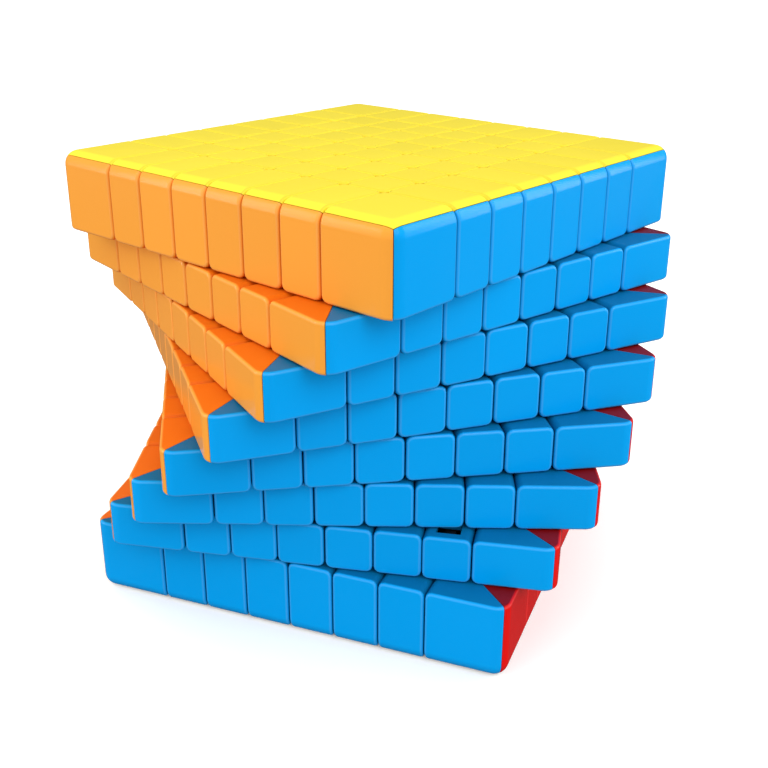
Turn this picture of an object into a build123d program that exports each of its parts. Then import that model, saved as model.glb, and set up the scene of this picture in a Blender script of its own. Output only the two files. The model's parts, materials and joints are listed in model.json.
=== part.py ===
"""A twisty puzzle cube of eight layers, turned into a spiral, with its core, stalks and feet.

The cube's axis is Z and its base stands at z = 0. Every piece is worked out around the cube's
centre and lifted onto the base when its node is written.
"""

import math
import os

from build123d import *

# ---- Driving dimensions, in millimetres and degrees ----
CUBE = 80.0  # side of the whole cube
PITCH = 8.5  # width of an inner layer, and of one column of centre pieces
TWIST = 10.0  # turn of each layer past the one below it

GAP = 0.24  # running gap between neighbouring pieces
MITRE_GAP = 0.08  # gap between two coloured shells of one piece
EDGE_R = 2.6  # rounding of the cube's own edges
CORNER_R = 1.2  # rounding of a piece's corners where four pieces meet
BORDER_R = 0.45  # softening around each coloured face
FACE_WALL = 1.5  # wall behind a coloured face
SIDE_WALL = 1.1  # side walls of a shell
ROOT = 5.0  # depth of the zone behind the shells, where the feet interlock
FIT = 0.15  # clearance between a foot's ribs and its shell
RIB = 1.8  # thickness of a foot's ribs
WINDOW_WIDTH = 4.2  # openings in the inward sides of the diagonal centre shells
WINDOW_LENGTH = 3.4
WINDOW_SETBACK = 1.8  # from the coloured face to the opening

TAB_WIDTH = 2.6  # tab that one foot pushes under the next one
TAB_LENGTH = 1.9
TAB_HEIGHT = 2.0
STRUT_WIDTH = 2.8  # diagonal strut of the corner and edge feet
STRUT_HEIGHT = 3.0  # its height in the outermost layers
HOOK = 2.0  # how far the innermost feet reach in past the inner square

MOVE_FIT = 0.2  # clearance between parts that turn against each other inside
HOLLOW = 1.3  # from the inner square in to the hollow around the core
TRACK_REACH = 2.9  # from the inner square out to the middle of the round track
TRACK_NECK = 0.9  # width of the dovetail track at its root
TRACK_HEAD = 2.2  # and at its top
TRACK_RISE = 1.0

FLANGE_REACH = 1.5  # from the inner square out to the hidden flange
FLANGE_WALL = 1.6
FLANGE_MARGIN = 2.0  # from the flange's rim to the far side of the pieces that hook on it
WEB_HALF = 1.2  # half the thickness of the hidden equator

CORE_R = 7.0
ARM_R = 3.6
ARM_REACH = 11.0  # from the cube's centre to the end of a core arm
STALK_R = 4.2
STALK_BORE_R = 3.2
STALK_FLOOR = 1.5
SCREW_R = 1.25
SCREW_DEPTH = 6.0  # thread length inside a core arm
SCREW_FIT = 0.08
HEAD_R = 2.6
HEAD_HEIGHT = 1.6
DRIVE_WIDTH = 0.6  # cross recess in the screw's head
DRIVE_LENGTH = 2.8
DRIVE_DEPTH = 0.8
WASHER_R = 2.9
WASHER_HEIGHT = 0.5
SPRING_R = 2.25  # to the middle of the wire
SPRING_WIRE_R = 0.28
SPRING_HEIGHT = 6.0
SPRING_TURNS = 5
SEAT_GAP = 0.1  # axial play at each end of spring and washer

# ---- What follows from them ----
ROWS = 3  # inner layers on each side of the middle
HALF = CUBE / 2
INNER = ROWS * PITCH  # half-width of the square inside the outer pieces
INSET = GAP / 2
LOW = INNER + INSET  # inner faces of the edge and corner pieces
ROOT_TOP = INNER + ROOT
TILE = PITCH - GAP
CAVITY = TILE / 2 - SIDE_WALL  # half-width of a hollow centre shell
RIB_SPAN = CAVITY - FIT
HOLLOW_R = INNER - HOLLOW
TRACK_R = INNER + TRACK_REACH
FLANGE_HALF = PITCH - FLANGE_MARGIN  # half the flange's height, and a stalk disc's radius
FLANGE_IN = INNER + FLANGE_REACH
FLANGE_OUT = FLANGE_IN + FLANGE_WALL
FAR = CUBE  # beyond every piece, for cutting tools

SIDES = ["red", "green", "orange", "blue"]  # faces towards +X, +Y, -X and -Y before the twist
TOP = "yellow"
UPSIDE_DOWN = {TOP: "white", "green": "blue", "blue": "green"}  # turned over about X


def span(x0, x1, y0, y1, z0, z1):
    """A box between pairs of limits."""
    return Pos(x0, y0, z0) * Box(x1 - x0, y1 - y0, z1 - z0, align=(Align.MIN,) * 3)


def turned(shape, quarter):
    """The shape after so many quarter turns about Z."""
    return shape.rotate(Axis.Z, 90 * quarter)


def mirrored_in_y(shape):
    return shape.mirror(Plane.XZ)


def ring(*section):
    """A full ring about Z from points (radius, height)."""
    return revolve(make_face(Plane.XZ * Polyline(*section, close=True)), Axis.Z)


def edges_along(shape, axis, *planes):
    """Edges parallel to an axis that lie on every one of the planes (index, value)."""
    found = []
    for edge in shape.edges().filter_by(axis):
        middle = tuple(edge.center())
        if all(abs(middle[index] - value) < 1e-4 for index, value in planes):
            found.append(edge)
    return found


def border(shape, outer_axes):
    """Edges that run round the coloured faces: they part a coloured face, or the rounding
    between two, from an inward side."""
    inward = {0, 1, 2} - set(outer_axes)
    limit = HALF - 1e-3

    def coloured(face):
        low, high = tuple(face.bounding_box().min), tuple(face.bounding_box().max)
        flat_outside = any(abs(low[i] - HALF) < 1e-3 for i in outer_axes)
        reaches = sum(high[i] > limit for i in outer_axes)
        normal = tuple(face.normal_at())
        rounding = reaches >= 2 and all(abs(normal[i]) < 1e-3 for i in inward) and face.area > 1
        ball = reaches == 3
        return flat_outside or rounding or ball

    outside = [f for f in shape.faces() if coloured(f)]
    inside = [f for f in shape.faces() if not any(f.is_same(o) for o in outside)]
    inner_edges = [e for f in inside for e in f.edges()]
    return [e for f in outside for e in f.edges() if any(e.is_same(i) for i in inner_edges)]


# ---- Coloured shells ----
def centre_shell(windows=False):
    """A centre piece's shell with its coloured face towards +Z, centred on the Z axis."""
    half = TILE / 2
    back = ROOT_TOP + INSET
    shell = span(-half, half, -half, half, back, HALF)
    shell = fillet(shell.edges().filter_by(Axis.Z), CORNER_R)
    shell = fillet(shell.faces().sort_by(Axis.Z)[-1].edges(), BORDER_R)
    shell -= span(-CAVITY, CAVITY, -CAVITY, CAVITY, back - 1, HALF - FACE_WALL)
    if windows:
        high = HALF - WINDOW_SETBACK
        side = WINDOW_WIDTH / 2
        shell -= span(-half - 1, 0, -side, side, high - WINDOW_LENGTH, high)
        shell -= span(-side, side, -half - 1, 0, high - WINDOW_LENGTH, high)
    return shell


def edge_shells():
    """Both shells of an edge piece that lies along X: the one facing +Z, then +Y."""
    half = TILE / 2
    body = span(-half, half, LOW, HALF, LOW, HALF)
    body = fillet(edges_along(body, Axis.X, (1, HALF), (2, HALF)), EDGE_R)
    lower = edges_along(body, Axis.Y, (2, LOW)) + edges_along(body, Axis.Z, (1, LOW))
    body = fillet(lower, CORNER_R)
    body = fillet(border(body, (1, 2)), BORDER_R)
    cavity_low, cavity_high = LOW + SIDE_WALL, HALF - FACE_WALL
    body -= span(-CAVITY, CAVITY, cavity_low, cavity_high, cavity_low, cavity_high)
    notch = ROOT_TOP + INSET
    body -= span(-half - 1, half + 1, LOW - 1, notch, LOW - 1, notch)
    upper = half_space(body, (0, -1, 1))
    return upper, upper.mirror(Plane((0, 0, 0), z_dir=(0, -1, 1)))


def corner_shells():
    """The three shells of the corner piece at (+, +, +): facing +X, +Y and +Z."""
    body = span(LOW, HALF, LOW, HALF, LOW, HALF)
    outer, lower = [], []
    for axis, (a, b) in ((Axis.X, (1, 2)), (Axis.Y, (0, 2)), (Axis.Z, (0, 1))):
        outer += edges_along(body, axis, (a, HALF), (b, HALF))
    body = fillet(outer, EDGE_R)
    for axis, (a, b) in ((Axis.X, (1, 2)), (Axis.Y, (0, 2)), (Axis.Z, (0, 1))):
        lower += edges_along(body, axis, (a, LOW), (b, LOW))
    body = fillet(lower, CORNER_R)
    body = fillet(border(body, (0, 1, 2)), BORDER_R)
    cavity_low, cavity_high = LOW + SIDE_WALL, HALF - FACE_WALL
    body -= span(*(cavity_low, cavity_high) * 3)
    body -= span(*(LOW - 1, ROOT_TOP + INSET) * 3)
    facing_x = half_space(half_space(body, (1, -1, 0)), (1, 0, -1))
    facing_y = half_space(half_space(body, (-1, 1, 0)), (0, 1, -1))
    facing_z = half_space(half_space(body, (-1, 0, 1)), (0, -1, 1))
    return facing_x, facing_y, facing_z


def half_space(shape, normal):
    """What lies on the normal's side of a mitre plane through the centre, less half its gap."""
    plane = Plane((0, 0, 0), z_dir=normal).offset(MITRE_GAP / 2)
    return split(shape, bisect_by=plane, keep=Keep.TOP)


# ---- Feet ----
def track(grow=0.0):
    """The dovetail track that stands on a layer whose upper plane is z = 0. With grow it is
    the groove that the track runs in."""
    neck = TRACK_NECK / 2 + grow
    head = TRACK_HEAD / 2 + grow
    top = TRACK_RISE + grow
    foot = -INSET - (1.0 if grow == 0 else 0.0)
    return ring(
        (TRACK_R - neck, foot),
        (TRACK_R + neck, foot),
        (TRACK_R + neck, 0),
        (TRACK_R + head, top),
        (TRACK_R - head, top),
        (TRACK_R - neck, 0),
    )


def strut_band(half_width, start_r, z0, z1):
    """A bar along the diagonal between +X and +Y, from a radius out to the root zone."""
    length = (ROOT_TOP - INSET) * math.sqrt(2) - start_r
    bar = span(start_r, start_r + length, -half_width, half_width, z0, z1)
    bar = bar.rotate(Axis.Z, 45)
    return bar & span(0, ROOT_TOP - INSET, 0, ROOT_TOP - INSET, z0, z1)


def centre_ribs():
    """Crossed ribs that stand inside a centre shell facing +Z."""
    low, high = ROOT_TOP - INSET - 0.5, HALF - FACE_WALL - FIT
    one = span(-RIB / 2, RIB / 2, -RIB_SPAN, RIB_SPAN, low, high)
    other = span(-RIB_SPAN, RIB_SPAN, -RIB / 2, RIB / 2, low, high)
    return one + other


def edge_ribs():
    """Crossed ribs inside an edge piece that lies along X, with the block at their root."""
    low, high = LOW + SIDE_WALL + FIT, HALF - FACE_WALL - FIT
    middle = (low + high) / 2
    plate = span(-RIB / 2, RIB / 2, low, high, low, high)
    cross = span(-RIB_SPAN, RIB_SPAN, middle - RIB / 2, middle + RIB / 2, low, high)
    root = span(-TILE / 2, TILE / 2, LOW, ROOT_TOP - INSET, LOW, ROOT_TOP - INSET)
    return plate + cross + root


def corner_ribs():
    """Three crossed ribs inside the corner piece at (+, +, +), with the block at their root."""
    low, high = LOW + SIDE_WALL + FIT, HALF - FACE_WALL - FIT
    middle = (low + high) / 2
    near, far = middle - RIB / 2, middle + RIB / 2
    ribs = span(near, far, low, high, low, high)
    ribs += span(low, high, near, far, low, high)
    ribs += span(low, high, low, high, near, far)
    ribs += span(*(LOW, ROOT_TOP - INSET) * 3)
    ribs += span(*(ROOT_TOP - ROOT / 2, middle) * 3)
    return ribs


def slab(row):
    """Lower and upper height of an inner layer's pieces above the cube's middle."""
    return row * PITCH + INSET, (row + 1) * PITCH - INSET


def cut_for_track(foot, row):
    """Cuts the groove for the track below, which the middle layers don't have."""
    if row == 0:
        return foot
    return foot - Pos(0, 0, row * PITCH) * track(MOVE_FIT)


def cut_for_equator(foot, row, hooked):
    """Frees a foot of the middle layers from the hidden equator and its flange. A foot that is
    hooked keeps what lies inside the flange."""
    if row > 0:
        return foot
    band = Sphere(FLANGE_OUT + MOVE_FIT)
    if hooked:
        band -= Sphere(FLANGE_IN - MOVE_FIT)
    height = FLANGE_HALF + MOVE_FIT
    foot -= band & span(-FAR, FAR, -FAR, FAR, -height, height)
    return foot - Cylinder(FLANGE_IN, 2 * (max(STALK_R, WEB_HALF) + MOVE_FIT))


def layer_foot(outline, row, hooked=True):
    """A foot of an inner layer: the outline, with the track on top and what lies below cut out."""
    foot = outline + ((Pos(0, 0, (row + 1) * PITCH) * track()) & grown_up(outline, row))
    return cut_for_equator(cut_for_track(foot, row), row, hooked)


def grown_up(outline, row):
    """The outline's plan carried up through the height of the track."""
    top = slab(row)[1]
    plan = outline & span(-FAR, FAR, -FAR, FAR, top - 0.5, top)
    return extrude(plan.faces().sort_by(Axis.Z)[-1], TRACK_RISE + GAP) + plan


def side_centre_foot(row, column):
    """Foot of the centre piece on the +X side of an inner layer, in a column towards +Y."""
    z0, z1 = slab(row)
    y0, y1 = column * PITCH + INSET, (column + 1) * PITCH - INSET
    block = span(0, ROOT_TOP - INSET, y0, y1, z0, z1) - Cylinder(HOLLOW_R, FAR)
    clear = STRUT_WIDTH / 2 + GAP
    corner_way = span(-FAR, FAR, -clear, FAR, -FAR, FAR).rotate(Axis.Z, 45)
    block -= corner_way
    foot = layer_foot(block, row, hooked=column < ROWS - 1)
    ribs = centre_ribs().rotate(Axis.Y, 90)
    return foot + Pos(0, (y0 + y1) / 2, (z0 + z1) / 2) * ribs


def upright_edge_foot(row):
    """Foot of the edge piece between the +X and +Y sides of an inner layer."""
    z0, z1 = slab(row)
    strut = strut_band(STRUT_WIDTH / 2, HOLLOW_R, z0, z1)
    ribs = upright(edge_ribs())
    return layer_foot(strut, row) + Pos(0, 0, (z0 + z1) / 2) * ribs


def upright(shape):
    """Stands a piece that lies along X up along Z: its +Z side turns to +Y and +Y to +X."""
    return shape.rotate(Axis((0, 0, 0), (1, 1, 1)), 240)


def tab(column, from_y, grow=0.0):
    """The tab at the bottom of a foot whose inner side is at from_y, reaching towards -Y.
    With grow it is the room that the next foot leaves for it, open through that foot's side."""
    side = column * PITCH + INSET
    near = side + GAP
    return span(
        side - GAP if grow else near,
        near + TAB_WIDTH + grow,
        from_y - TAB_LENGTH - grow,
        from_y + 0.5,
        LOW - (1 if grow else 0),
        LOW + TAB_HEIGHT + grow,
    )


def swapped(shape):
    """Mirrors X and Y."""
    return shape.mirror(Plane((0, 0, 0), z_dir=(1, -1, 0)))


def top_centre_foot(column, line):
    """Foot of a centre piece in the top layer, in a column along +X and a line along +Y."""
    x0, x1 = column * PITCH + INSET, (column + 1) * PITCH - INSET
    y0, y1 = line * PITCH + INSET, (line + 1) * PITCH - INSET
    innermost = column == 0 and line == 0
    low = INNER - HOOK if innermost else LOW
    foot = span(x0, x1, y0, y1, low, ROOT_TOP - INSET)
    if line >= column and line > 0:
        foot += tab(column, y0)
    if column > line:
        foot += swapped(tab(line, x0))
    if line + 1 >= column:
        foot -= tab(column, (line + 1) * PITCH + INSET, MOVE_FIT)
    if column + 1 > line:
        foot -= swapped(tab(line, (column + 1) * PITCH + INSET, MOVE_FIT))
    if column + line <= 1:
        disc_way = Sphere(FLANGE_OUT + MOVE_FIT) & Cylinder(FLANGE_HALF + MOVE_FIT, FAR * 2)
        if innermost:
            disc_way -= Sphere(FLANGE_IN - MOVE_FIT)
        foot -= disc_way
        foot -= Cylinder(STALK_R + MOVE_FIT, FAR * 2)
    if column == line == ROWS - 1:
        foot -= strut_way()
    foot = cut_for_track(foot, ROWS)
    return foot + Pos((x0 + x1) / 2, (y0 + y1) / 2, 0) * centre_ribs()


def strut_start():
    """Radius where the strut of a corner foot ends, just inside the track."""
    return TRACK_R - TRACK_HEAD / 2 - 1.0


def strut_way():
    """The room that the feet around a corner foot leave for its strut."""
    half = STRUT_WIDTH / 2 + MOVE_FIT
    return strut_band(half, strut_start() - MOVE_FIT, LOW - 1, LOW + STRUT_HEIGHT + MOVE_FIT)


def top_edge_foot(column):
    """Foot of an edge piece along the +Y side of the top layer, in a column towards +X."""
    middle = (column + 0.5) * PITCH
    foot = Pos(middle, 0, 0) * edge_ribs() + tab(column, LOW)
    if column == ROWS - 1:
        foot -= strut_way()
    return cut_for_track(foot, ROWS)


def top_corner_foot():
    foot = corner_ribs()
    foot += strut_band(STRUT_WIDTH / 2, strut_start(), LOW, LOW + STRUT_HEIGHT)
    return cut_for_track(foot, ROWS)


# ---- Layers ----
def side_centre_shells(row):
    """The six centre shells on the +X side of an inner layer."""
    found = []
    for column in range(ROWS):
        diagonal = row == column == ROWS - 1
        shell = centre_shell(windows=diagonal).rotate(Axis.Z, 180).rotate(Axis.Y, 90)
        if diagonal:
            shell = shell.mirror(Plane.XZ)
        shell = Pos(0, (column + 0.5) * PITCH, (row + 0.5) * PITCH) * shell
        found += [shell, mirrored_in_y(shell)]
    return found


def inner_layer(row):
    """Nodes of an inner layer above the middle: names to lists of solids."""
    caps = side_centre_shells(row)
    at = Pos(0, 0, (row + 0.5) * PITCH)
    facing_y, facing_x = (at * upright(s) for s in edge_shells())
    nodes = {colour: [] for colour in SIDES}
    for side, colour in enumerate(SIDES):
        nodes[colour] += [turned(cap, side) for cap in caps]
        nodes[colour].append(turned(facing_x, side))
        nodes[SIDES[(side + 1) % 4]].append(turned(facing_y, side))
    feet = []
    for column in range(ROWS):
        foot = side_centre_foot(row, column)
        feet += [foot, mirrored_in_y(foot)]
    edge_foot = upright_edge_foot(row)
    nodes["centre_feet"] = [turned(f, q) for q in range(4) for f in feet]
    nodes["edge_feet"] = [turned(edge_foot, q) for q in range(4)]
    return nodes


def outer_layer():
    """Nodes of the top layer."""
    upper, outward = edge_shells()
    facing_x, facing_y, facing_z = corner_shells()
    nodes = {colour: [] for colour in [TOP, *SIDES]}
    places = [(i - ROWS + 0.5) * PITCH for i in range(2 * ROWS)]
    for side, colour in enumerate(SIDES):
        following = SIDES[(side + 1) % 4]
        nodes[TOP].append(turned(facing_z, side))
        nodes[colour].append(turned(facing_x, side))
        nodes[following].append(turned(facing_y, side))
        for x in places:
            nodes[TOP].append(turned(Pos(x, 0, 0) * upper, side))
            nodes[following].append(turned(Pos(x, 0, 0) * outward, side))
    nodes["centre_feet"], nodes["edge_feet"], nodes["corner_feet"] = [], [], []
    for quarter in range(4):
        for column in range(ROWS):
            for line in range(ROWS):
                windows = column == line == ROWS - 1
                at = Pos((column + 0.5) * PITCH, (line + 0.5) * PITCH, 0)
                nodes[TOP].append(turned(at * centre_shell(windows), quarter))
                nodes["centre_feet"].append(turned(top_centre_foot(column, line), quarter))
            foot = top_edge_foot(column)
            nodes["edge_feet"] += [turned(foot, quarter), turned(foot.mirror(Plane.YZ), quarter)]
        nodes["corner_feet"].append(turned(top_corner_foot(), quarter))
    return nodes


# ---- Core ----
def stalk():
    """The hollow stalk towards +Z, whose disc holds the four innermost feet."""
    low = ARM_REACH + SEAT_GAP
    ball = Sphere(FLANGE_OUT)
    tube = span(-FAR, FAR, -FAR, FAR, low, FAR) & Cylinder(STALK_R, FAR * 2) & ball
    disc = (ball - Sphere(FLANGE_IN)) & Cylinder(FLANGE_HALF, FAR * 2)
    disc &= span(-FAR, FAR, -FAR, FAR, 0, FAR)
    bore_low = low + STALK_FLOOR
    bore = Pos(0, 0, bore_low + FAR / 2) * Cylinder(STALK_BORE_R, FAR)
    way = Cylinder(SCREW_R + MOVE_FIT, FAR * 2)
    return tube + disc - bore - way


def screw_levels():
    """Heights of the spring's foot, the washer and the screw's head along a stalk."""
    spring = ARM_REACH + SEAT_GAP + STALK_FLOOR + SEAT_GAP
    washer = spring + SPRING_HEIGHT + SEAT_GAP
    head = washer + WASHER_HEIGHT + SEAT_GAP
    return spring, washer, head


def stalk_screw():
    head_low = screw_levels()[2]
    tip = ARM_REACH - SCREW_DEPTH
    shank = Pos(0, 0, (tip + head_low) / 2) * Cylinder(SCREW_R, head_low - tip)
    head = Pos(0, 0, head_low + HEAD_HEIGHT / 2) * Cylinder(HEAD_R, HEAD_HEIGHT)
    top = head_low + HEAD_HEIGHT
    drive = Pos(0, 0, top) * Box(DRIVE_WIDTH, DRIVE_LENGTH, 2 * DRIVE_DEPTH)
    drive += Pos(0, 0, top) * Box(DRIVE_LENGTH, DRIVE_WIDTH, 2 * DRIVE_DEPTH)
    return shank + head - drive


def stalk_washer():
    low = screw_levels()[1]
    disc = Cylinder(WASHER_R, WASHER_HEIGHT) - Cylinder(SCREW_R + MOVE_FIT, WASHER_HEIGHT)
    return Pos(0, 0, low + WASHER_HEIGHT / 2) * disc


def stalk_spring():
    rise = SPRING_HEIGHT - 2 * SPRING_WIRE_R
    path = Helix(pitch=rise / SPRING_TURNS, height=rise, radius=SPRING_R)
    wire = Plane(origin=path @ 0, z_dir=path % 0) * Circle(SPRING_WIRE_R)
    coil = sweep(wire, path=path, is_frenet=True)
    return Pos(0, 0, screw_levels()[0] + SPRING_WIRE_R) * coil


def six_ways(shape):
    """Copies of a shape that points to +Z, towards +Z, -Z and then the four sides."""
    level = shape.rotate(Axis.Y, 90)
    return [shape, shape.rotate(Axis.X, 180)] + [turned(level, q) for q in range(4)]


def core_spider():
    body = Sphere(CORE_R)
    hole_low = ARM_REACH - SCREW_DEPTH - SEAT_GAP
    arm = Pos(0, 0, ARM_REACH / 2) * Cylinder(ARM_R, ARM_REACH)
    hole = Pos(0, 0, (hole_low + FAR) / 2) * Cylinder(SCREW_R + SCREW_FIT, FAR - hole_low)
    for way in six_ways(arm):
        body += way
    for way in six_ways(hole):
        body -= way
    return body


def equator_segment():
    """The quarter of the hidden equator between the +X and +Y stalks."""
    beside_tube = STALK_R + MOVE_FIT
    beside_disc = FLANGE_HALF + MOVE_FIT
    web = span(beside_tube, FAR, beside_tube, FAR, -WEB_HALF, WEB_HALF)
    web = (web & Sphere(FLANGE_IN - MOVE_FIT)) - Sphere(max(CORE_R, ARM_REACH) + MOVE_FIT)
    corner = span(beside_disc, FAR, beside_disc, FAR, -FLANGE_HALF, FLANGE_HALF)
    flange = corner & (Sphere(FLANGE_OUT) - Sphere(FLANGE_IN))
    bridge = span(beside_disc, FAR, beside_disc, FAR, -WEB_HALF, WEB_HALF)
    bridge &= Sphere(FLANGE_OUT - FLANGE_WALL / 2) - Sphere(FLANGE_IN - 1)
    return web + bridge + flange


# ---- Nodes ----
def write_node(name, shapes, turn=0.0):
    """Turns a node's solids about the cube's axis, lifts them onto the base and writes them."""
    solids = [solid for shape in shapes for solid in shape.solids()]
    placed = [Pos(0, 0, HALF) * solid.rotate(Axis.Z, turn) for solid in solids]
    export_step(Compound(children=placed), f"parts/{name}.step")
    print(f"{name}: {len(placed)} solids")


def write_layer(number, nodes, turn, below=False):
    """Writes one layer's nodes. A layer below the middle is one above, turned upside down."""
    for kind, shapes in nodes.items():
        if below:
            shapes = [shape.rotate(Axis.X, 180) for shape in shapes]
            kind = UPSIDE_DOWN.get(kind, kind)
        suffix = kind if kind.endswith("_feet") else f"{kind}_shells"
        write_node(f"layer_{number}_{suffix}", shapes, turn)


def main():
    os.makedirs("parts", exist_ok=True)
    layers = [inner_layer(row) for row in range(ROWS)] + [outer_layer()]
    count = 2 * len(layers)
    for place, nodes in enumerate(layers):
        above = len(layers) - place
        under = len(layers) + 1 + place
        write_layer(above, nodes, (count - above) * TWIST)
        write_layer(under, nodes, (count - under) * TWIST, below=True)

    stalks = six_ways(stalk())
    write_node("top_stalk", stalks[:1])
    write_node("bottom_stalk", stalks[1:2])
    write_node("side_stalks", stalks[2:])
    write_node("core_spider", [core_spider()])
    write_node("stalk_screws", six_ways(stalk_screw()))
    write_node("stalk_washers", six_ways(stalk_washer()))
    write_node("stalk_springs", six_ways(stalk_spring()))
    write_node("hidden_equator", [turned(equator_segment(), q) for q in range(4)])


main()
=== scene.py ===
import json
import math

import bmesh
import bpy
from mathutils import Matrix, Vector

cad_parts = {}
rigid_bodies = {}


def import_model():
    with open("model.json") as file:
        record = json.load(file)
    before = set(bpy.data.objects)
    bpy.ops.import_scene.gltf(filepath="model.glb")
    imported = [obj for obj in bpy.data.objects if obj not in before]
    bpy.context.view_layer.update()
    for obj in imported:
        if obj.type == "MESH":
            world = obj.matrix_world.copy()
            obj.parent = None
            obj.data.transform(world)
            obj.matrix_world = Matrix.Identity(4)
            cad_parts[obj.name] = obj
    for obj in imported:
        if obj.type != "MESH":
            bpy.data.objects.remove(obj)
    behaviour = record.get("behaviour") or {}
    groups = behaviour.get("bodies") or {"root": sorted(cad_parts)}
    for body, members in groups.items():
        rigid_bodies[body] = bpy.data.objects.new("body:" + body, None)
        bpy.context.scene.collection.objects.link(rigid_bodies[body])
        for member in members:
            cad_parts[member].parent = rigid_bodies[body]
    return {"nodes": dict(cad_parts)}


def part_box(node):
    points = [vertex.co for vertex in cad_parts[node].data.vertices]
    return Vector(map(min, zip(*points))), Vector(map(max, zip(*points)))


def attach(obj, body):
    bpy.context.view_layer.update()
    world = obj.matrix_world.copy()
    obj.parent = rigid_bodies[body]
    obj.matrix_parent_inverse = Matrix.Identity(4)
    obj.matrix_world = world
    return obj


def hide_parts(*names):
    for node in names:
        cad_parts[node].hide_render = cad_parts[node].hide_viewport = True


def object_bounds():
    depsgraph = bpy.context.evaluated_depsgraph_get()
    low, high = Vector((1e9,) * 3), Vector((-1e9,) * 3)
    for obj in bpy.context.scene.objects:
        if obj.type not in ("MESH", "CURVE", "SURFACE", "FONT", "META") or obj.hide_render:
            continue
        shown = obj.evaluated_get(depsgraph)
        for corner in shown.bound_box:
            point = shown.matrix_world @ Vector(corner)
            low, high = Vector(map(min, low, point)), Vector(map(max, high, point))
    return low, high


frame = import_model()
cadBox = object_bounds()
print("frame loaded:", len(frame["nodes"]), "nodes")

mm = 0.001
quarterTurn = math.pi / 2

cube = {
    "rows": 3,  # inner layers on each side of the middle
    "twistStep": 10.0,  # degrees from one layer to the next above it
}

# the cube's own sizes, read from the frame, in millimetres
upperBox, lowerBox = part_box("layer_4_blue_shells"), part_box("layer_5_blue_shells")
side = (cadBox[1].z - cadBox[0].z) / mm
pitch = (upperBox[1].z - lowerBox[1].z) / mm
gap = (upperBox[0].z - lowerBox[1].z) / mm
half = side / 2
rows = cube["rows"]
layerCount = 2 * rows + 2


def linear(code):
    # sRGB hex to linear, with full alpha
    parts = [int(code[i:i + 2], 16) / 255 for i in (0, 2, 4)]
    return (*[c / 12.92 if c <= 0.04045 else ((c + 0.055) / 1.055) ** 2.4 for c in parts], 1.0)


def addNode(tree, kind, links=None, **settings):
    # a node with its settings, its inputs linked or set
    node = tree.nodes.new(kind)
    for name, value in settings.items():
        setattr(node, name, value)
    for key, source in (links or {}).items():
        if isinstance(source, bpy.types.Node):
            source = source.outputs[0]
        if isinstance(source, bpy.types.NodeSocket):
            tree.links.new(source, node.inputs[key])
        else:
            node.inputs[key].default_value = source
    return node


def maths(tree, operation, *values):
    return addNode(tree, "ShaderNodeMath", dict(enumerate(values)), operation=operation)


def ramp(tree, value, start, end, atStart=0.0, atEnd=1.0, **settings):
    # a value taken from one range to another, held at its ends
    return addNode(tree, "ShaderNodeMapRange",
                   {"Value": value, "From Min": start, "From Max": end,
                    "To Min": atStart, "To Max": atEnd}, **settings)


def noise(tree, size, detail):
    # a pattern on the piece's own coordinates, its size in millimetres
    place = addNode(tree, "ShaderNodeTexCoord").outputs["Object"]
    return addNode(tree, "ShaderNodeTexNoise",
                   {"Vector": place, "Scale": 1 / (size * mm), "Detail": detail})


def newMaterial(name):
    material = bpy.data.materials.new(name)
    material.use_nodes = True
    tree = material.node_tree
    return material, tree, tree.nodes["Principled BSDF"]


# dyed ABS, sRGB: a coloured face, the sides that turning lays bare in painted shade, and the
# rim of a face with its share: a painted highlight, but painted shade on the two light colours
colours = {
    "yellow": ("FFE940", "EBCB20", "9C8A34", 0.34),
    "blue": ("00A6F6", "0072A8", "FFFFFF", 0.04),
    "orange": ("FFA83E", "EC720B", "FFFFFF", 0.04),
    "red": ("EA120F", "860508", "FFFFFF", 0.04),
    "green": ("10A83A", "0A7A26", "FFFFFF", 0.04),
    "white": ("F2F2EE", "C8C8C2", "A8A8A2", 0.2),
}
absIor = 1.53
shellLook = {
    "specular": 0.16,  # a matted skin gives back less than bare ABS
    "roughness": (0.17, 0.23),
    "patch": 14.0,  # mm, handled patches that are a little glossier
    "patchDetail": 1.0,
    "patchRange": (0.25, 0.75),  # the part of the pattern that the gloss follows
    "skin": 1.4,  # mm, the mould's slight waviness
    "skinDetail": 0.5,
    "skinDepth": 0.004,  # mm
    "skinStrength": 0.5,
    "toneSpread": 0.05,  # from piece to piece
    "paintedRimDepth": (0.005, 0.07, 0.28),  # mm under the outside, for the painted rim: start, strongest, end
    "shadedSideDepth": (0.15, 0.6),  # mm under the outside: sides rougher, in painted shade
    "sideRough": 0.28,
}


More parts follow.
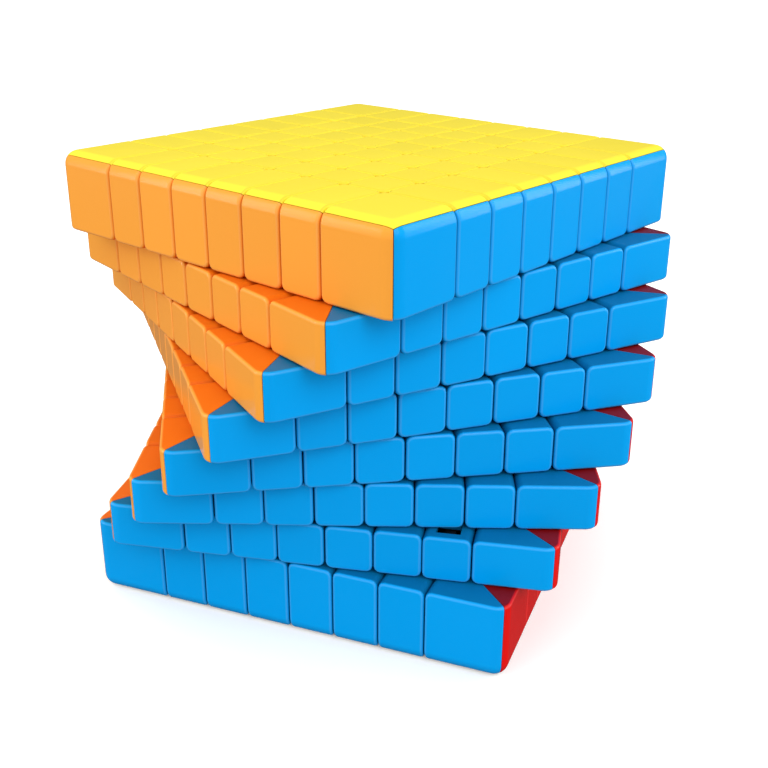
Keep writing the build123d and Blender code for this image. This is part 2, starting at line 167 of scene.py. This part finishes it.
def mouldedAbs(name, faceCode, shadedSideCode, paintedRimCode, paintedRimShare):
    # injection-moulded dyed ABS from a satin steel mould: even, deep colour with a soft gloss
    # and a fine skin; painted highlight or painted shade on rims, sides rougher in painted
    # shade
    look = shellLook
    material, tree, shader = newMaterial(name)
    shader.inputs["IOR"].default_value = absIor
    shader.inputs["Specular IOR Level"].default_value = look["specular"]

    bump = addNode(tree, "ShaderNodeBump",
                   {"Height": noise(tree, look["skin"], look["skinDetail"]),
                    "Strength": look["skinStrength"], "Distance": look["skinDepth"] * mm})
    tree.links.new(bump.outputs[0], shader.inputs["Normal"])

    depth = addNode(tree, "ShaderNodeAttribute", attribute_name="skinDepth").outputs["Fac"]
    rimStart, rimPeak, rimEnd = look["paintedRimDepth"]
    # the rim of the coloured face: a painted highlight, or painted shade on yellow and white
    onPaintedRim = maths(tree, "MULTIPLY", ramp(tree, depth, rimStart, rimPeak),
                  ramp(tree, depth, rimPeak, rimEnd, paintedRimShare, 0.0))
    # the sides under the coloured face: rougher, and darkened with painted shade
    onShadedSide = ramp(tree, depth, *look["shadedSideDepth"], interpolation_type="SMOOTHSTEP")

    tone = addNode(tree, "ShaderNodeAttribute", attribute_name="tileTone").outputs["Fac"]
    brightness = ramp(tree, tone, 0.0, 1.0, 1 - look["toneSpread"], 1.0)
    # the face colour mixed towards the side colour, which is painted shade
    dyeWithPaintedShade = addNode(tree, "ShaderNodeMix", {0: onShadedSide, 6: linear(faceCode), 7: linear(shadedSideCode)},
                  data_type="RGBA")
    tonedWithPaintedShade = addNode(tree, "ShaderNodeHueSaturation",
                   {"Value": brightness, "Color": dyeWithPaintedShade.outputs[2]})
    # the rim's painted highlight, or its painted shade on the two light colours
    withPaintedRim = addNode(tree, "ShaderNodeMix", {0: onPaintedRim, 6: tonedWithPaintedShade, 7: linear(paintedRimCode)},
                   data_type="RGBA")
    tree.links.new(withPaintedRim.outputs[2], shader.inputs["Base Color"])

    patches = noise(tree, look["patch"], look["patchDetail"])
    gloss = ramp(tree, patches, *look["patchRange"], *look["roughness"])
    roughened = maths(tree, "MULTIPLY_ADD", onShadedSide, look["sideRough"], gloss)
    tree.links.new(roughened.outputs[0], shader.inputs["Roughness"])
    return material


innerLook = {  # sRGB, roughness, and the size of the grain in mm
    "blackAbs": ("1A1A1C", 0.55, 0.6),
    "coreNylon": ("2A2B2E", 0.6, 0.9),
    "platedSteel": ("C9CCD0", 0.3, 0.3),
    "springWire": ("A4A8AE", 0.35, 0.2),
}
sparkLook = {"detail": 4.0, "shades": (0.8, 1.15), "roughSpread": 0.08,
             "pitStrength": 0.6, "pitDepth": 0.02}  # pitDepth in mm
steelLook = {"detail": 5.0, "shades": (0.85, 1.1), "roughSpread": 0.1}


def grained(name, finish, look):
    # a material whose grain shifts its tone and its gloss
    code, roughness, size = innerLook[finish]
    material, tree, shader = newMaterial(name)
    grain = noise(tree, size, look["detail"])
    toned = addNode(tree, "ShaderNodeHueSaturation",
                    {"Value": ramp(tree, grain, 0.0, 1.0, *look["shades"]),
                     "Color": linear(code)})
    tree.links.new(toned.outputs[0], shader.inputs["Base Color"])
    gloss = ramp(tree, grain, 0.0, 1.0, roughness - look["roughSpread"],
                 roughness + look["roughSpread"])
    tree.links.new(gloss.outputs[0], shader.inputs["Roughness"])
    return material, tree, shader, grain


def sparkFinished(name, finish):
    # black or grey plastic from a spark-eroded mould: matt, with an even grain
    material, tree, shader, pits = grained(name, finish, sparkLook)
    shader.inputs["IOR"].default_value = absIor
    bump = addNode(tree, "ShaderNodeBump",
                   {"Height": pits, "Strength": sparkLook["pitStrength"],
                    "Distance": sparkLook["pitDepth"] * mm})
    tree.links.new(bump.outputs[0], shader.inputs["Normal"])
    return material


def bareSteel(name, finish):
    # plated or drawn steel: fine marks left by the lathe or the die
    material, _, shader, _ = grained(name, finish, steelLook)
    shader.inputs["Metallic"].default_value = 1.0
    return material


shellFinish = {c: mouldedAbs(f"moulded ABS, {c}", *codes) for c, codes in colours.items()}
blackAbs = sparkFinished("spark-finished ABS, black", "blackAbs")
coreNylon = sparkFinished("moulded nylon, charcoal", "coreNylon")
platedSteel = bareSteel("zinc-plated steel", "platedSteel")
springWire = bareSteel("drawn spring wire", "springWire")
print("finishes made:", len(bpy.data.materials))


# tiles: one of each kind, in millimetres, coloured face up, around the cube's middle
shell = {  # millimetres
    "seam": 0.14,  # between neighbouring tiles, a little under the running gap behind them
    "edgeRound": 2.6,  # the cube's own edges
    "cornerRound": 1.2,  # corners where four pieces meet
    "borderRound": 0.6,  # softening around a coloured face
    "edgeSteps": 8,
    "cornerSteps": 3,
    "borderSteps": 3,
    "faceWall": 1.5,
    "sideWall": 1.1,
    "rootDepth": 5.0,  # the zone behind, kept for the feet
    "mitreGap": 0.12,
    "windowWidth": 4.2,
    "windowLength": 3.4,
    "windowSetback": 1.8,
    "play": 0.02,  # how far a centre piece sits off its place
    "sunk": 0.45,  # share of the play by which each is sunk at least, so none stands proud
    "tilt": 0.06,  # degrees, about the cube's middle
}
low = rows * pitch + shell["seam"] / 2  # where the edge and corner pieces begin
tileHalf = (pitch - shell["seam"]) / 2
cavity = tileHalf - shell["sideWall"]
cavityLow = low + shell["sideWall"]
cavityHigh = half - shell["faceWall"]
notch = rows * pitch + shell["rootDepth"] + gap / 2
beyond = 2 * side
spare = 1.0  # how far a cutter runs past what it cuts
onPlaneWithin = 1e-3
levelWithin = 0.01  # how far a normal may lean and still count as level
weldWithin = 1e-4
flatAngle, sharpAngle = math.radians(1), math.radians(38)


def block(lowest, highest, turn=Matrix()):
    bm = bmesh.new()
    bmesh.ops.create_cube(bm, size=1.0)
    lowest, highest = Vector(lowest), Vector(highest)
    for v in bm.verts:
        v.co = Vector(a if c < 0 else b for a, b, c in zip(lowest, highest, v.co))
    bm.transform(turn)
    return bm


def mitreCut(angle, axis):
    # all that lies past a mitre, with half of its gap
    return block((-beyond,) * 3, (beyond, beyond, shell["mitreGap"] / 2),
                 Matrix.Rotation(math.radians(angle), 4, axis))


def onPlane(edge, axis, value):
    return all(abs(v.co[axis] - value) < onPlaneWithin for v in edge.verts)


def roundEdges(bm, edges, radius, steps):
    bmesh.ops.bevel(bm, geom=edges, offset=radius, offset_type="OFFSET", segments=steps,
                    profile=0.5, affect="EDGES", clamp_overlap=False)
    bm.normal_update()


def softenBorders(bm, outwardAxes):
    # the edges between a coloured face, or the rounding between two, and an inward side
    def coloured(face):
        return all(n > -levelWithin for n in face.normal) and \
            max(face.normal[a] for a in outwardAxes) > levelWithin and \
            all(abs(face.normal[a]) < levelWithin for a in range(3) if a not in outwardAxes)
    borders = [e for e in bm.edges if sum(coloured(f) for f in e.link_faces) == 1]
    roundEdges(bm, borders, shell["borderRound"], shell["borderSteps"])


def carve(bm, cutters, name):
    # takes the cutters out of a body and returns the mesh
    made = []
    for shape in [bm, *cutters]:
        mesh = bpy.data.meshes.new(name)
        shape.to_mesh(mesh)
        shape.free()
        made.append(bpy.data.objects.new(name, mesh))
        bpy.context.collection.objects.link(made[-1])
    for cutter in made[1:]:
        cut = made[0].modifiers.new("cut", "BOOLEAN")
        cut.operation, cut.solver, cut.object = "DIFFERENCE", "EXACT", cutter
    graph = bpy.context.evaluated_depsgraph_get()
    mesh = bpy.data.meshes.new_from_object(made[0].evaluated_get(graph))
    for item in made:
        bpy.data.objects.remove(item)
    clean = bmesh.new()
    clean.from_mesh(mesh)
    bmesh.ops.remove_doubles(clean, verts=clean.verts, dist=weldWithin)
    bmesh.ops.dissolve_limit(clean, angle_limit=flatAngle, verts=clean.verts,
                             edges=clean.edges)
    clean.to_mesh(mesh)
    clean.free()
    mesh.name = name
    mesh.shade_smooth()
    mesh.set_sharp_from_angle(angle=sharpAngle)
    return mesh


def markDepth(mesh, outwardAxes):
    # how deep each point lies under the cube's rounded outside, in millimetres
    depths = mesh.attributes.new("skinDepth", "FLOAT", "POINT")
    core = half - shell["edgeRound"]
    for v, depth in zip(mesh.vertices, depths.data):
        past = [v.co[axis] - core for axis in outwardAxes]
        reach = math.hypot(*(max(p, 0.0) for p in past))
        depth.value = shell["edgeRound"] - reach - min(max(past), 0.0)
    return mesh


def centreTile(windows):
    bm = block((-tileHalf, -tileHalf, notch), (tileHalf, tileHalf, half))
    upright = [e for e in bm.edges if not (onPlane(e, 2, notch) or onPlane(e, 2, half))]
    roundEdges(bm, upright, shell["cornerRound"], shell["cornerSteps"])
    top = [e for e in bm.edges if onPlane(e, 2, half)]
    roundEdges(bm, top, shell["borderRound"], shell["borderSteps"])
    cutters = [block((-cavity, -cavity, notch - spare), (cavity, cavity, cavityHigh))]
    if windows:
        high = half - shell["windowSetback"]
        deep, wide = high - shell["windowLength"], shell["windowWidth"] / 2
        cutters.append(block((-tileHalf - spare, -wide, deep), (0, wide, high)))
        cutters.append(block((-wide, -tileHalf - spare, deep), (wide, 0, high)))
    mesh = carve(bm, cutters, "windowedTile" if windows else "centreTile")
    return markDepth(mesh, (2,))


def edgeTile():
    bm = block((-tileHalf, low, low), (tileHalf, half, half))
    outer = [e for e in bm.edges if onPlane(e, 1, half) and onPlane(e, 2, half)]
    roundEdges(bm, outer, shell["edgeRound"], shell["edgeSteps"])
    inward = [e for e in bm.edges if (onPlane(e, 0, tileHalf) or onPlane(e, 0, -tileHalf))
              and (onPlane(e, 1, low) or onPlane(e, 2, low))]
    roundEdges(bm, inward, shell["cornerRound"], shell["cornerSteps"])
    softenBorders(bm, (1, 2))
    cutters = [
        block((-cavity, cavityLow, cavityLow), (cavity, cavityHigh, cavityHigh)),
        block((-beyond, low - spare, low - spare), (beyond, notch, notch)),
        mitreCut(45, "X"),
    ]
    mesh = carve(bm, cutters, "edgeTile")
    return markDepth(mesh, (1, 2))


def cornerTile():
    bm = block((low,) * 3, (half,) * 3)
    for level, radius, steps in ((half, shell["edgeRound"], shell["edgeSteps"]),
                                 (low, shell["cornerRound"], shell["cornerSteps"])):
        found = [e for e in bm.edges if sum(onPlane(e, axis, level) for axis in range(3)) == 2]
        roundEdges(bm, found, radius, steps)
    softenBorders(bm, (0, 1, 2))
    cutters = [
        block((cavityLow,) * 3, (cavityHigh,) * 3),
        block((low - spare,) * 3, (notch,) * 3),
        mitreCut(45, "X"),
        mitreCut(-45, "Y"),
    ]
    mesh = carve(bm, cutters, "cornerTile")
    return markDepth(mesh, (0, 1, 2))


def recast(mesh, name, order, mirrored=False):
    # the same tile with its axes taken in another order, and perhaps mirrored in x
    copy = mesh.copy()
    copy.name = name
    for v in copy.vertices:
        v.co = Vector(v.co[a] for a in order)
        if mirrored:
            v.co.x = -v.co.x
    swapped = order in ((0, 2, 1), (1, 0, 2), (2, 1, 0))  # two axes swapped: inside out
    if swapped != mirrored:
        copy.flip_normals()
    return copy


def tileSet(name, meshes):
    # a collection whose order is its objects' alphabetical order
    tiles = bpy.data.collections.new(name)
    for letter, mesh in zip("abcde", meshes):
        tiles.objects.link(bpy.data.objects.new(f"{letter}_{name}", mesh))
    return tiles


plain, windowed, edge, corner = centreTile(False), centreTile(True), edgeTile(), cornerTile()
outwards = (0, 2, 1)  # swaps y and z: a face that looks up then looks along +Y
onEnd = (1, 2, 0)  # an edge piece that lies along x then stands up at +X +Y

plainSide = recast(plain, "plainSide", outwards)
windowSide = recast(windowed, "windowSide", outwards)
windowSideLeft = recast(windowed, "windowSideLeft", outwards, True)
uprightEnd = recast(edge, "uprightEnd", onEnd)
uprightEndLeft = recast(edge, "uprightEndLeft", onEnd, True)
edgeSide = recast(edge, "edgeSide", outwards)
cornerSide = recast(corner, "cornerSide", outwards)
cornerSideLeft = recast(corner, "cornerSideLeft", outwards, True)

plainBand = tileSet("plainBand", [uprightEndLeft, plainSide, plainSide, plainSide, uprightEnd])
windowBand = tileSet("windowBand",
                     [uprightEndLeft, windowSideLeft, plainSide, windowSide, uprightEnd])
outerBand = tileSet("outerBand", [cornerSideLeft, edgeSide, edgeSide, edgeSide, cornerSide])
coverTiles = tileSet("coverTiles", [corner, edge, plain, windowed])
print("tiles made, faces:", [len(m.polygons) for m in (plain, windowed, edge, corner)])


# the rules that lay the tiles out
shared = {"Tiles": "Collection", "Pitch": "Float", "Play": "Float", "Tilt": "Float",
          "Seed": "Int", "Flip": "Float", "Turn": "Float", "Lift": "Float",
          "Scale": "Float", "Material": "Material"}
seedShift = 50.0  # sets the tilts and tones apart from the shifts


def newTree(name, sockets):
    tree = bpy.data.node_groups.new(name, "GeometryNodeTree")
    tree.interface.new_socket("Geometry", in_out="OUTPUT", socket_type="NodeSocketGeometry")
    for label, kind in {**sockets, **shared}.items():
        tree.interface.new_socket(label, in_out="INPUT", socket_type="NodeSocket" + kind)
    return tree, tree.nodes.new("NodeGroupInput")


def vector(tree, **parts):
    return addNode(tree, "ShaderNodeCombineXYZ", parts)


def pointRow(tree, count):
    # points that all lie at the middle until they are spread out
    return addNode(tree, "GeometryNodeMeshLine", {"Count": count, "Offset": (0, 0, 0)})


def ofKind(tree, points, kind):
    # points that carry the number of their tile in its set
    return addNode(tree, "GeometryNodeStoreNamedAttribute",
                   {"Geometry": points, "Name": "kind", "Value": kind},
                   data_type="INT", domain="POINT")


def jitter(tree, size, highest, seed):
    # a random vector, from minus the size on each axis up to the highest share of it
    least, most = (addNode(tree, "ShaderNodeVectorMath", {0: end, "Scale": size},
                           operation="SCALE") for end in ((-1, -1, -1), highest))
    return addNode(tree, "FunctionNodeRandomValue", {0: least, 1: most, "Seed": seed},
                   data_type="FLOAT_VECTOR")


def placeTiles(tree, given, points, kind, turn, loose, outwardAxis):
    # puts a tile on each point, each centre piece a hair off its place, then turns the
    # whole face into its layer, realizes it and gives it its finish
    tiles = addNode(tree, "GeometryNodeCollectionInfo",
                    {"Collection": given.outputs["Tiles"], "Separate Children": True})
    seed = given.outputs["Seed"]
    nextSeed = maths(tree, "ADD", seed, seedShift)
    slack = maths(tree, "MULTIPLY", given.outputs["Play"], loose)
    lean = maths(tree, "MULTIPLY", given.outputs["Tilt"], loose)
    outward = [-shell["sunk"] if axis == outwardAxis else 1 for axis in range(3)]
    moved = addNode(tree, "GeometryNodeSetPosition",
                    {"Geometry": points, "Offset": jitter(tree, slack, outward, seed)})
    facing = addNode(tree, "ShaderNodeVectorMath",
                     {0: jitter(tree, lean, (1, 1, 1), nextSeed), 1: turn}, operation="ADD")
    placed = addNode(tree, "GeometryNodeInstanceOnPoints",
                     {"Points": moved, "Instance": tiles, "Pick Instance": True,
                      "Instance Index": kind, "Rotation": facing})
    tone = addNode(tree, "FunctionNodeRandomValue", {"Seed": nextSeed}, data_type="FLOAT")
    toned = addNode(tree, "GeometryNodeStoreNamedAttribute",
                    {"Geometry": placed, "Name": "tileTone", "Value": tone.outputs[1]},
                    data_type="FLOAT", domain="INSTANCE")
    inPlace = addNode(tree, "GeometryNodeTransform",
                      {"Geometry": toned, "Translation": vector(tree, Z=given.outputs["Lift"]),
                       "Rotation": vector(tree, Y=given.outputs["Flip"],
                                          Z=given.outputs["Turn"]),
                       "Scale": given.outputs["Scale"]})
    solid = addNode(tree, "GeometryNodeRealizeInstances", {"Geometry": inPlace})
    finished = addNode(tree, "GeometryNodeSetMaterial",
                       {"Geometry": solid, "Material": given.outputs["Material"]})
    addNode(tree, "NodeGroupOutput", {"Geometry": finished})


def bandTree():
    # one side of a layer: a row of tiles facing +Y, with an end piece at each end
    tree, given = newTree("tileBand", {"Columns": "Int", "Row": "Float"})
    columns, pitchIn = given.outputs["Columns"], given.outputs["Pitch"]
    index = addNode(tree, "GeometryNodeInputIndex")
    last = maths(tree, "SUBTRACT", columns, 1.0)
    fromLast = maths(tree, "SUBTRACT", last, index)
    inner = maths(tree, "GREATER_THAN", maths(tree, "MULTIPLY", index, fromLast), 0.5)
    fromMiddle = maths(tree, "MULTIPLY_ADD", last, -0.5, index)
    stepped = maths(tree, "MULTIPLY", fromMiddle, pitchIn)
    x = maths(tree, "MULTIPLY", stepped, inner)  # the end tiles carry their own place
    z = maths(tree, "MULTIPLY", given.outputs["Row"], pitchIn)
    points = addNode(tree, "GeometryNodeSetPosition",
                     {"Geometry": pointRow(tree, columns), "Position": vector(tree, X=x, Z=z)})
    # in a band's set: left end 0, left inner 1, middle 2, right inner 3, right end 4
    middle = 2.0
    fromLeft = maths(tree, "MINIMUM", index, middle)
    fromRight = maths(tree, "MAXIMUM", maths(tree, "SUBTRACT", middle, fromLast), 0.0)
    kind = maths(tree, "ADD", fromLeft, fromRight)
    placeTiles(tree, given, points, kind, vector(tree), inner, 1)
    return tree


def coverTree():
    # a whole outer face looking up: corner, edge and centre tiles of one quarter, four times
    tree, given = newTree("tileCover", {"Rows": "Int"})
    pitchIn, count = given.outputs["Pitch"], given.outputs["Rows"]
    index = addNode(tree, "GeometryNodeInputIndex")
    cornerKind, edgeKind, centreKind = 0, 1, 2  # in the cover's set; the windowed tile is next

    onePoint = addNode(tree, "GeometryNodeMeshLine", {"Count": 1})
    cornerPoint = ofKind(tree, onePoint, cornerKind)

    fromMiddle = maths(tree, "ADD", maths(tree, "SUBTRACT", index, count), 0.5)
    edgeX = maths(tree, "MULTIPLY", fromMiddle, pitchIn)
    edgeRow = addNode(tree, "GeometryNodeSetPosition",
                      {"Geometry": pointRow(tree, maths(tree, "MULTIPLY", count, 2.0)),
                       "Position": vector(tree, X=edgeX)})
    edgePoints = ofKind(tree, edgeRow, edgeKind)

    width = maths(tree, "MULTIPLY", maths(tree, "SUBTRACT", count, 1.0), pitchIn)
    grid = addNode(tree, "GeometryNodeMeshGrid",
                   {"Size X": width, "Size Y": width, "Vertices X": count, "Vertices Y": count})
    middle = maths(tree, "MULTIPLY", maths(tree, "MULTIPLY", count, 0.5), pitchIn)
    centred = addNode(tree, "GeometryNodeSetPosition",
                      {"Geometry": grid, "Offset": vector(tree, X=middle, Y=middle)})
    # the last point, beside the corner piece, takes the windowed tile
    lastOne = maths(tree, "SUBTRACT", maths(tree, "MULTIPLY", count, count), 1.5)
    atCorner = maths(tree, "GREATER_THAN", index, lastOne)
    centrePoints = ofKind(tree, centred, maths(tree, "ADD", atCorner, centreKind))

    quarter = addNode(tree, "GeometryNodeJoinGeometry")
    for part in (cornerPoint, edgePoints, centrePoints):
        tree.links.new(part.outputs[0], quarter.inputs[0])
    angle = maths(tree, "MULTIPLY", index, quarterTurn)
    fourTimes = addNode(tree, "GeometryNodeInstanceOnPoints",
                        {"Points": pointRow(tree, 4), "Instance": quarter,
                         "Rotation": vector(tree, Z=angle)})
    angled = addNode(tree, "GeometryNodeStoreNamedAttribute",
                     {"Geometry": fourTimes, "Name": "quarterTurn", "Value": angle},
                     data_type="FLOAT", domain="INSTANCE")
    allPoints = addNode(tree, "GeometryNodeRealizeInstances", {"Geometry": angled})

    kind = addNode(tree, "GeometryNodeInputNamedAttribute", {"Name": "kind"}, data_type="INT")
    facing = addNode(tree, "GeometryNodeInputNamedAttribute", {"Name": "quarterTurn"},
                     data_type="FLOAT")
    loose = maths(tree, "GREATER_THAN", kind, centreKind - 0.5)
    placeTiles(tree, given, allPoints, kind, vector(tree, Z=facing), loose, 2)
    return tree


bands, covers = bandTree(), coverTree()
sideColours = ["green", "orange", "blue", "red"]  # by quarter turns from the +Y side
seedsPerLayer = 10


def growShells(tree, own, layer, colour):
    # one colour's shells on one layer, as a plain mesh that stands for the CAD node
    node = f"layer_{layer}_{colour}_shells"
    piece = bpy.data.objects.new(f"layer{layer}{colour.capitalize()}Shells",
                                 bpy.data.meshes.new(node))
    bpy.context.scene.collection.objects.link(piece)
    lower = layer > layerCount / 2
    values = {"Pitch": pitch, "Play": shell["play"], "Tilt": math.radians(shell["tilt"]),
              "Seed": seedsPerLayer * layer + list(colours).index(colour),
              "Lift": half * mm, "Scale": mm,
              "Flip": math.pi if lower else 0.0, "Material": shellFinish[colour], **own}
    layout = piece.modifiers.new("layout", "NODES")
    layout.node_group = tree
    for socket in tree.interface.items_tree:
        if socket.in_out == "INPUT":
            layout[socket.identifier] = values[socket.name]
    graph = bpy.context.evaluated_depsgraph_get()
    mesh = bpy.data.meshes.new_from_object(piece.evaluated_get(graph))
    piece.modifiers.clear()
    piece.data = mesh
    even = piece.modifiers.new("even shading", "WEIGHTED_NORMAL")
    even.keep_sharp = True
    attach(piece, f"layer_{layer}")
    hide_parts(node)


for layer in range(1, layerCount + 1):
    turned = math.radians((layerCount - layer) * cube["twistStep"])
    outer = layer in (1, layerCount)
    row = abs(layer - (layerCount + 1) / 2)  # in pitches from the middle
    windows = row == rows - 0.5  # the outermost of the inner layers
    for quarter, colour in enumerate(sideColours):
        growShells(bands, {
            "Columns": layerCount,
            "Row": 0.0 if outer else row,
            "Tiles": outerBand if outer else windowBand if windows else plainBand,
            "Turn": turned + quarter * quarterTurn,
            **({"Play": 0.0, "Tilt": 0.0} if outer else {}),
        }, layer, colour)
    if outer:
        growShells(covers, {"Rows": rows, "Tiles": coverTiles, "Turn": turned}, layer,
                   "yellow" if layer == 1 else "white")
for tiles in (plainBand, windowBand, outerBand, coverTiles):
    for item in list(tiles.objects):
        bpy.data.objects.remove(item)
    bpy.data.collections.remove(tiles)
print("shells grown on", layerCount, "layers")

# what stays from the frame: feet, stalks and core
inside = {"core_spider": coreNylon, "stalk_screws": platedSteel, "stalk_washers": platedSteel,
          "stalk_springs": springWire}
for name, item in frame["nodes"].items():
    if not name.endswith("_shells"):
        item.data.materials.clear()
        item.data.materials.append(inside.get(name, blackAbs))
print("inner parts finished")

studio = {  # metres
    "floorSize": 8.0,
    "floorColour": "FCFCFC",
    "floorRough": 0.9,
    "floorSpecular": 0.1,
    "tableGlow": 0.18,
    "worldLight": 1.12,
    "seenInGloss": 0.08,  # share of it left in reflections, as with black flags round the set
    "bounce": 0.3,  # share of the table's light that comes back up
    "viewTransform": "Standard",
    "suns": [  # name, compass direction and height in degrees, softness, strength
        ("frontFill", -38.0, 40.0, 40.0, 0.75),
    ],
    "strips": [  # name, compass direction, watts
        ("rightStrip", 32.0, 0.8),
        ("leftStrip", -155.0, 1.0),
    ],
    "stripSize": (0.16, 0.45),
    "stripAway": 0.6,
    "stripLift": 0.01,
}


def flagged(tree, strength, bounce=1.0):
    # a strength that drops where a reflection looks, and in light thrown back
    ray = addNode(tree, "ShaderNodeLightPath")
    mirrored = ramp(tree, ray.outputs["Is Glossy Ray"], 0.0, 1.0, strength,
                    strength * studio["seenInGloss"])
    thrown = ramp(tree, ray.outputs["Is Diffuse Ray"], 0.0, 1.0, 1.0, bounce)
    return maths(tree, "MULTIPLY", mirrored, thrown)


floorMesh = bpy.data.meshes.new("floor")
reach = studio["floorSize"] / 2
floorMesh.from_pydata([(-reach, -reach, 0), (reach, -reach, 0), (reach, reach, 0),
                       (-reach, reach, 0)], [], [(0, 1, 2, 3)])
floor = bpy.data.objects.new("floor", floorMesh)
bpy.context.scene.collection.objects.link(floor)
paper, paperTree, paperShader = newMaterial("backlit paper table")
paperTone = addNode(paperTree, "ShaderNodeHueSaturation",
                    {"Value": flagged(paperTree, 1.0, studio["bounce"]),
                     "Color": linear(studio["floorColour"])})
paperGlow = flagged(paperTree, studio["tableGlow"], studio["bounce"])
paperTree.links.new(paperTone.outputs[0], paperShader.inputs["Base Color"])
paperTree.links.new(paperGlow.outputs[0], paperShader.inputs["Emission Strength"])
paperShader.inputs["Emission Color"].default_value = (1, 1, 1, 1)
paperShader.inputs["Roughness"].default_value = studio["floorRough"]
paperShader.inputs["Specular IOR Level"].default_value = studio["floorSpecular"]
floorMesh.materials.append(paper)

world = bpy.data.worlds.new("studio")
world.use_nodes = True
sky = world.node_tree.nodes["Background"]
sky.inputs["Color"].default_value = (1, 1, 1, 1)
world.node_tree.links.new(flagged(world.node_tree, studio["worldLight"]).outputs[0],
                          sky.inputs["Strength"])
bpy.context.scene.world = world
bpy.context.scene.view_settings.view_transform = studio["viewTransform"]

for name, compass, height, softness, strength in studio["suns"]:
    light = bpy.data.lights.new(name, "SUN")
    light.angle, light.energy = math.radians(softness), strength
    holder = bpy.data.objects.new(name, light)
    holder.rotation_euler = (0, math.radians(90 - height), math.radians(compass))
    bpy.context.scene.collection.objects.link(holder)
for name, compass, watts in studio["strips"]:
    light = bpy.data.lights.new(name, "AREA")
    light.shape, light.energy = "RECTANGLE", watts
    light.size, light.size_y = studio["stripSize"]
    centre = (studio["stripAway"], 0, light.size_y / 2 + studio["stripLift"])
    holder = bpy.data.objects.new(name, light)
    holder.matrix_world = (Matrix.Rotation(math.radians(compass), 4, "Z")
                           @ Matrix.Translation(centre)
                           @ Matrix.Rotation(quarterTurn, 4, "Z")
                           @ Matrix.Rotation(quarterTurn, 4, "X"))
    holder.visible_camera = False
    bpy.context.scene.collection.objects.link(holder)

lens = {  # metres, degrees, and millimetres for the lens and the sensor
    "place": (0.074936, -0.18729, 0.11747),
    "heading": 21.082,
    "dip": 22.770,
    "roll": 0.237,
    "length": 51.186,
    "sensor": 36.0,
    "nearest": 0.01,
}
cameraData = bpy.data.cameras.new("camera")
cameraData.lens, cameraData.sensor_width = lens["length"], lens["sensor"]
cameraData.clip_start = lens["nearest"]
camera = bpy.data.objects.new("camera", cameraData)
camera.matrix_world = (Matrix.Translation(lens["place"])
                       @ Matrix.Rotation(math.radians(lens["heading"]), 4, "Z")
                       @ Matrix.Rotation(math.radians(90 - lens["dip"]), 4, "X")
                       @ Matrix.Rotation(math.radians(lens["roll"]), 4, "Z"))
bpy.context.scene.collection.objects.link(camera)
bpy.context.scene.camera = camera
print("studio set up")
